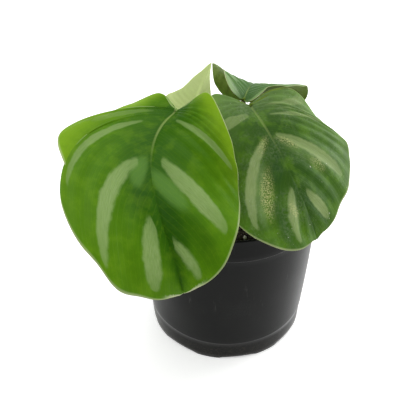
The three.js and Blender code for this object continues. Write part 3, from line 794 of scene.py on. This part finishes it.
# %% Make the stalks
BLADE_THICKNESS = 0.9
GAP = 0.3
CROWN = (-3.0, 6.0)
CROWN_TOP = 90.0
SHEATH_RADIUS = 2.7
STALK_RADIUS = 1.5
PULVINUS_RADIUS = 2.0
PULVINUS_SHARE = 0.16
STALK_BEND = 26.0
STALK_ROWS = 140
STALK_SIDES = 28
for name, leaf in LEAVES.items():
    spine = make_spine(leaf)
    reach = leaf["stalk_reach"]
    below = BLADE_THICKNESS / 2 + GAP + PULVINUS_RADIUS
    end = spine_at(spine, reach, "point") - spine_at(spine, reach, "up") * below
    base = np.array([*leaf["stalk_base"], CROWN_TOP + GAP - 1.2])
    approach = end - spine_at(spine, 0.0, "along") * STALK_BEND - spine_at(spine, 0.0, "up") * 8
    rise = base + np.array([0, 0, (end[2] - base[2]) * 0.5])
    path, length = even_path((base, rise, approach, end), STALK_ROWS)
    share = np.linspace(0, 1, STALK_ROWS)
    joint = share > 1 - PULVINUS_SHARE
    stalk, swollen = path[~joint], path[joint]
    low = share[~joint]
    sheath = (1 - low / 0.45).clip(0)
    radius = STALK_RADIUS * 0.93 + (SHEATH_RADIUS - STALK_RADIUS) * sheath ** 0.7
    radius = radius + 0.25 * np.exp(-(((low - 1 + PULVINUS_SHARE) / 0.03) ** 2))
    points, faces = sweep(stalk, radius, STALK_SIDES, groove=0.1 + 0.35 * sheath ** 0.5)
    make_piece("stalk_" + name, points, faces, ("petiole_" + name,),
               (petiole_material,))
    t = np.linspace(0, 1, joint.sum())
    swell = 1.25 + 0.85 * np.sin(np.pi * t) ** 0.8 + 0.05 * np.sin(2 * np.pi * 7 * t)
    swell = swell * (1 - smooth(0.82, 1.0, t) * 0.55)
    rising = spine_at(spine, reach, "up") * (smooth(0.6, 1.0, t) * 1.6)[:, None]
    points, faces = sweep(swollen + rising, swell, STALK_SIDES)
    make_piece("swelling_" + name, points, faces, ("pulvinus_" + name,),
               (pulvinus_material,))
    print(name, "stalk", round(length, 1), "mm long")

# %% [markdown]
# ## The nursery pot
#
# Thin vacuum-formed pots are turned shapes: a rim band, a gently tapering wall, a low step and a
# foot skirt cut with shallow arches. The profile is carried round the axis with many steps, the
# wall is given the slight unevenness of thin plastic, and the arches lift the skirt's lower edge.

# %% Pot profile and mesh
POT_HEIGHT = 98.0
POT_TOP_RADIUS = 52.5
POT_BASE_RADIUS = 46.5
POT_WALL = 1.1
RIM_BAND = 14.0
STEP_HEIGHT = 14.0
FLOOR_LIFT = 4.0
FLOOR_THICKNESS = 1.3
PAD_RADIUS = 14.0
SKIRT_RADIUS = 44.0
POT_SIDES = 240
NOTCHES = 8
NOTCH_HALF = 11.0
NOTCH_HEIGHT = 1.4
NOTCH_TURN = math.radians(-82)
SLOPE = (POT_TOP_RADIUS - 0.8 - POT_BASE_RADIUS) / (POT_HEIGHT - RIM_BAND)
BAND_BOTTOM = POT_HEIGHT - RIM_BAND
FLOOR_TOP = FLOOR_LIFT + FLOOR_THICKNESS


def wall_radius(z):
    return POT_BASE_RADIUS + SLOPE * z


BAND_RADIUS = wall_radius(BAND_BOTTOM)
FLOOR_EDGE = wall_radius(FLOOR_TOP) - POT_WALL
# Each corner of the wall's section, from the middle of the underside round to the middle of the
# floor: its radius and height, then the points that round it, as steps from the corner.
POT_CORNERS = (
    (PAD_RADIUS, 0.0, ((-0.4, 0), (0, 0.3))), (PAD_RADIUS, FLOOR_LIFT, ((1.4, -0.2), (1.8, 0))),
    (SKIRT_RADIUS, FLOOR_LIFT, ((-0.3, 0), (0, -0.3))), (SKIRT_RADIUS, 0.0, ((1.0, 0.3), (1.3, 0))),
    (POT_BASE_RADIUS, 0.0, ((-0.3, 0), (0, 0.3))),
    (wall_radius(STEP_HEIGHT), STEP_HEIGHT, ((-0.1, -0.3), (0.1, 0), (0.25, 0.5), (0.3, 0.9))),
    (wall_radius(50), 50.0, ((0.3, 0),)),
    (BAND_RADIUS, BAND_BOTTOM, ((0.1, -0.8), (0.2, -0.5), (0.8, -0.1), (0.9, 0.3))),
    (POT_TOP_RADIUS, POT_HEIGHT, ((-0.15, -1.0), (-0.1, -0.5), (-0.3, -0.1), (-0.6, 0), (-1.0, 0),
                                  (-1.3, -0.2), (-1.45, -0.7))),
    (BAND_RADIUS - POT_WALL, BAND_BOTTOM, ((0, 0),)),
    (FLOOR_EDGE, FLOOR_TOP, ((0, 0.4), (-0.4, 0))), (PAD_RADIUS, FLOOR_TOP, ((0.8, 0), (0.5, -0.2))),
    (PAD_RADIUS, FLOOR_THICKNESS, ((-0.9, 0.2), (-1.2, 0))))
POT_PROFILE = np.array([(0.0, 0.0)] + [(radius + out, height + up) for radius, height, steps in POT_CORNERS
                                       for out, up in steps] + [(0.0, FLOOR_THICKNESS)])


def refine(profile, longest):
    """The profile with extra points, so that no piece of it is longer than the given length."""
    pieces = []
    for (r0, z0), (r1, z1) in zip(profile[:-1], profile[1:]):
        steps = max(1, math.ceil(math.hypot(r1 - r0, z1 - z0) / longest))
        share = np.arange(steps)[:, None] / steps
        pieces.append(np.array([r0, z0]) * (1 - share) + np.array([r1, z1]) * share)
    return np.concatenate(pieces + [profile[-1:]])


def turned(profile, around, change):
    """The profile carried round the vertical axis. Its first and last points lie on the axis and
    become single points; change(radius, height, angle) may move the others."""
    angle = np.linspace(0, 2 * np.pi, around, endpoint=False)
    radius = profile[1:-1, 0][:, None] * np.ones(around)
    height = profile[1:-1, 1][:, None] * np.ones(around)
    radius, height = change(radius, height, angle[None, :])
    points = np.stack([radius * np.cos(angle), radius * np.sin(angle), height], axis=-1)
    ends = np.array([[0, 0, profile[0, 1]], [0, 0, profile[-1, 1]]])
    return np.concatenate([points.reshape(-1, 3), ends]), capped_faces(len(profile) - 2, around)


def pot_change(radius, height, angle):
    """Shallow arches at the foot, each half an ellipse, and a slow unevenness of the wall."""
    turn = (angle - NOTCH_TURN + np.pi / NOTCHES) % (2 * np.pi / NOTCHES) - np.pi / NOTCHES
    away = np.abs(turn) * POT_BASE_RADIUS / NOTCH_HALF
    arch = NOTCH_HEIGHT * np.sqrt((1 - away ** 2).clip(0))
    foot = (radius > SKIRT_RADIUS - 0.5) & (height < FLOOR_LIFT)
    height = np.where(foot, np.maximum(height, arch + height * (1 - arch / FLOOR_LIFT)), height)
    wall = (radius > SKIRT_RADIUS) & (height > 6) & (height < BAND_BOTTOM - 2)
    uneven = 0.16 * np.sin(3 * angle + 0.6 + height * 0.02) + 0.10 * np.sin(7 * angle + height * 0.09)
    fade = np.sin(np.pi * ((height - 6) / (BAND_BOTTOM - 8)).clip(0, 1)) ** 0.5
    return radius + np.where(wall, uneven * fade, 0.0), height


# %% Pot material
pot_material, s, principled = new_material("black_nursery_plastic")
place = s.place()
cloud = s.noise(place, 35.0, 6.0, 0.65)
scratches = s.noise(s.place((260.0, 260.0, 30.0)), 1.0, 5.0, 0.7)
grit = s.noise(place, 1100.0, 3.0, 0.7)
dusty = s.times(s.ramp(cloud, 0.45, 0.75), s.ramp(grit, 0.3, 0.8))
base = s.mix(dusty, (0.0030, 0.0033, 0.0030), (0.012, 0.013, 0.012))
scuff = s.times(s.ramp(scratches, 0.62, 0.74), s.ramp(cloud, 0.4, 0.6))
base = s.mix(s.times(scuff, 0.5), base, (0.11, 0.11, 0.10))
splash = s.times(s.ramp(s.height(), 0.0, 0.02, 1.0, 0.0), s.ramp(grit, 0.45, 0.7))
base = s.mix(s.times(splash, 0.25), base, (0.12, 0.10, 0.07))
lumps = s.math("ADD", s.times(scratches, 0.5), s.times(grit, 0.35))
s.feed(principled, {
    "Base Color": base, "Roughness": s.times_add(cloud, 0.25, 0.34), "Normal": s.bump(lumps, 0.25),
    "Specular IOR Level": 0.08, "Sheen Weight": 0.35, "Sheen Roughness": 0.3})

pot_points, pot_faces = turned(refine(POT_PROFILE, 4.0), POT_SIDES, pot_change)
pot = make_piece("pot_shell", pot_points, pot_faces, ("nursery_pot",),
                 (pot_material,))
print("pot", len(pot.data.polygons), "faces")

# %% [markdown]
# ## Potting mix, rhizome and crumbs
#
# Peat is a rough brown-black surface with loose crumbs and a few white grains. The body of the mix
# is a turned solid whose top is pushed up and down by layered waves. Crumbs and grains are small
# twenty-sided lumps, one mesh of each kind, squashed and turned at random from a fixed seed.

# %% Body of the mix
MIX_TOP = 86.5
MIX_MOUND = 2.0
MIX_SIDES = 220
MIX_RINGS = 60
rng = np.random.default_rng(11)
WAVES = [(rng.normal(0, 1, 2) * freq, rng.uniform(0, 2 * np.pi), 1 / (1 + freq * 1.5))
         for freq in (0.15, 0.3, 0.5, 0.8, 1.1, 1.5) for _ in range(5)]


def mix_relief(x, y):
    """Layered sine waves in random directions, about a millimetre high."""
    return 0.75 * sum(size * np.sin(x * d[0] + y * d[1] + phase) for d, phase, size in WAVES) / 2


def mix_height(x, y):
    """The mix's surface: a low mound with the waves on it."""
    r = np.hypot(x, y) / 50
    return MIX_TOP + MIX_MOUND * (1 - r.clip(0, 1) ** 2) + mix_relief(x, y) - 0.4


def mix_change(radius, height, angle):
    """Only the top follows the mound and waves; the sides stay clear of the pot."""
    x, y = radius * np.cos(angle), radius * np.sin(angle)
    top = height >= MIX_TOP - 0.01
    return radius, np.where(top, mix_height(x, y), height)


edge = wall_radius(MIX_TOP) - POT_WALL - GAP
rings = np.linspace(edge, 0, MIX_RINGS)
profile = np.concatenate([
    [(0, FLOOR_THICKNESS + GAP), (PAD_RADIUS - 1.6, FLOOR_THICKNESS + GAP),
     (PAD_RADIUS + 0.2, FLOOR_TOP + GAP), (FLOOR_EDGE - 2 * GAP, FLOOR_TOP + GAP), (edge - 0.3, MIX_TOP - 2)],
    np.stack([rings, np.full(MIX_RINGS, MIX_TOP)], axis=-1)])
profile[-1] = (0, mix_height(np.array(0.0), np.array(0.0)))
mix_points, mix_faces = turned(profile, MIX_SIDES, mix_change)

mix_material, s, principled = new_material("damp_peat")
lump = s.noise(s.place(), 260.0, 6.0, 0.7)
fibre = s.noise(s.place((1400.0, 500.0, 900.0)), 1.0, 4.0, 0.7)
base = s.mix(s.ramp(lump, 0.3, 0.75), (0.012, 0.008, 0.005), (0.060, 0.038, 0.022))
base = s.mix(s.times(s.ramp(fibre, 0.6, 0.75), 0.5), base, (0.14, 0.09, 0.05))
rugged = s.math("ADD", lump, s.times(fibre, 0.6))
s.feed(principled, {"Base Color": base, "Roughness": 0.9, "Normal": s.bump(rugged, 0.9, 0.0008)})
make_piece("peat", mix_points, mix_faces, ("potting_mix",), (mix_material,))
print("mix top at", round(float(mix_points[:, 2].max()), 2), "mm")


# %% Crumbs and grains
MIX_REACH = 48.5
CRUMBS = 3600
GRAINS = 120
CLEAR_OF_STALKS = 9.0


def icosahedron():
    """Twelve corners on three golden rectangles, and twenty faces."""
    f = (1 + math.sqrt(5)) / 2
    corners = np.array([(-1, f, 0), (1, f, 0), (-1, -f, 0), (1, -f, 0), (0, -1, f), (0, 1, f),
                        (0, -1, -f), (0, 1, -f), (f, 0, -1), (f, 0, 1), (-f, 0, -1), (-f, 0, 1)])
    faces = np.array([(0, 11, 5), (0, 5, 1), (0, 1, 7), (0, 7, 10), (0, 10, 11), (1, 5, 9), (5, 11, 4),
                      (11, 10, 2), (10, 7, 6), (7, 1, 8), (3, 9, 4), (3, 4, 2), (3, 2, 6), (3, 6, 8),
                      (3, 8, 9), (4, 9, 5), (2, 4, 11), (6, 2, 10), (8, 6, 7), (9, 8, 1)])
    return corners / math.hypot(1, f), faces


def scatter(count, small, large, flat, seed):
    """Lumps on the mix, clear of the stalks: random places, sizes, squash and turn."""
    rng = np.random.default_rng(seed)
    corners, faces = icosahedron()
    radius = MIX_REACH * np.sqrt(rng.uniform(0, 1, count))
    angle = rng.uniform(0, 2 * np.pi, count)
    x, y = radius * np.cos(angle), radius * np.sin(angle)
    clear = np.hypot(x - CROWN[0], y - CROWN[1]) > CLEAR_OF_STALKS
    x, y = x[clear], y[clear]
    count = len(x)
    size = rng.uniform(small, large, count)
    squash = rng.uniform(1 - flat, 1.0, (count, 3))
    lumps = corners[None] * (1 + rng.normal(0, 0.14, (count, 12, 1))) * size[:, None, None]
    lumps = lumps * squash[:, None, :]
    turn = rng.uniform(0, 2 * np.pi, count)
    c, s_ = np.cos(turn)[:, None], np.sin(turn)[:, None]
    turned_x = lumps[..., 0] * c - lumps[..., 1] * s_
    turned_y = lumps[..., 0] * s_ + lumps[..., 1] * c
    z = mix_height(x, y)[:, None] + lumps[..., 2] + size[:, None] * 0.25
    points = np.stack([turned_x + x[:, None], turned_y + y[:, None], z], axis=-1).reshape(-1, 3)
    faces = (faces[None] + 12 * np.arange(count)[:, None, None]).reshape(-1, 3)
    return points, faces


grain_material, s, principled = new_material("white_grain")
pores = s.noise(s.place(), 1500.0, 3.0, 0.7)
s.feed(principled, {"Base Color": s.mix(pores, (0.35, 0.33, 0.28), (0.72, 0.71, 0.66)),
                    "Roughness": 0.85})
points, faces = scatter(CRUMBS, 0.35, 1.25, 0.6, 5)
crumbs = make_piece("peat_crumbs", points, faces, (), (mix_material,))
points, faces = scatter(GRAINS, 0.5, 1.3, 0.4, 6)
grains = make_piece("pale_grains", points, faces, (), (grain_material,))
print("crumbs", len(crumbs.data.polygons) // 20, "grains", len(grains.data.polygons) // 20)

# %% Rhizome with its roots
CROWN_DEPTH = 14.0
ROOTS = 5
ROOT_LENGTH = 46.0
ROOT_TILT = math.radians(38)
ROOT_RADIUS = 2.2
crown_profile = np.array([
    (0, CROWN_TOP - CROWN_DEPTH), (6, CROWN_TOP - CROWN_DEPTH), (9, CROWN_TOP - 10), (9.6, CROWN_TOP - 6),
    (9.4, CROWN_TOP - 2.5), (8.2, CROWN_TOP - 1.0), (6.0, CROWN_TOP - 0.3), (0, CROWN_TOP - 0.1)])


def crown_change(radius, height, angle):
    """Knobs round the crown, each a small share of its radius."""
    knob = 0.05 * np.sin(5 * angle + height) + 0.04 * np.sin(9 * angle + 1.3 * height)
    return radius * (1 + knob), height


points, faces = turned(refine(crown_profile, 1.2), 90, crown_change)
all_points, all_faces = [points + np.array([*CROWN, 0])], [faces]
share = np.linspace(0, 1, 40)[:, None]
for k in range(ROOTS):
    turn = (k + 0.25) * 2 * math.pi / ROOTS
    way = np.array([-math.sin(turn) * math.sin(ROOT_TILT), math.cos(turn) * math.sin(ROOT_TILT),
                    -math.cos(ROOT_TILT)])
    path = np.array([*CROWN, CROWN_TOP - CROWN_DEPTH * 0.55]) + way * share * ROOT_LENGTH
    radius = ROOT_RADIUS * (1 - share[:, 0] * 0.7) + 0.12 * np.sin(30 * share[:, 0])
    points, faces = sweep(path, radius, 16)
    all_faces.append(faces + sum(len(done) for done in all_points))
    all_points.append(points)
root_material, s, principled = new_material("rhizome_brown")
rings_pattern = s.noise(s.place((200.0, 200.0, 1200.0)), 1.0, 4.0, 0.7)
s.feed(principled, {
    "Base Color": s.mix(s.ramp(rings_pattern, 0.3, 0.7), (0.09, 0.055, 0.028), (0.26, 0.18, 0.09)),
    "Roughness": 0.8, "Normal": s.bump(rings_pattern, 0.7, 0.0005)})
make_piece("rootstock", np.concatenate(all_points), np.concatenate(all_faces), ("rhizome",),
           (root_material,))
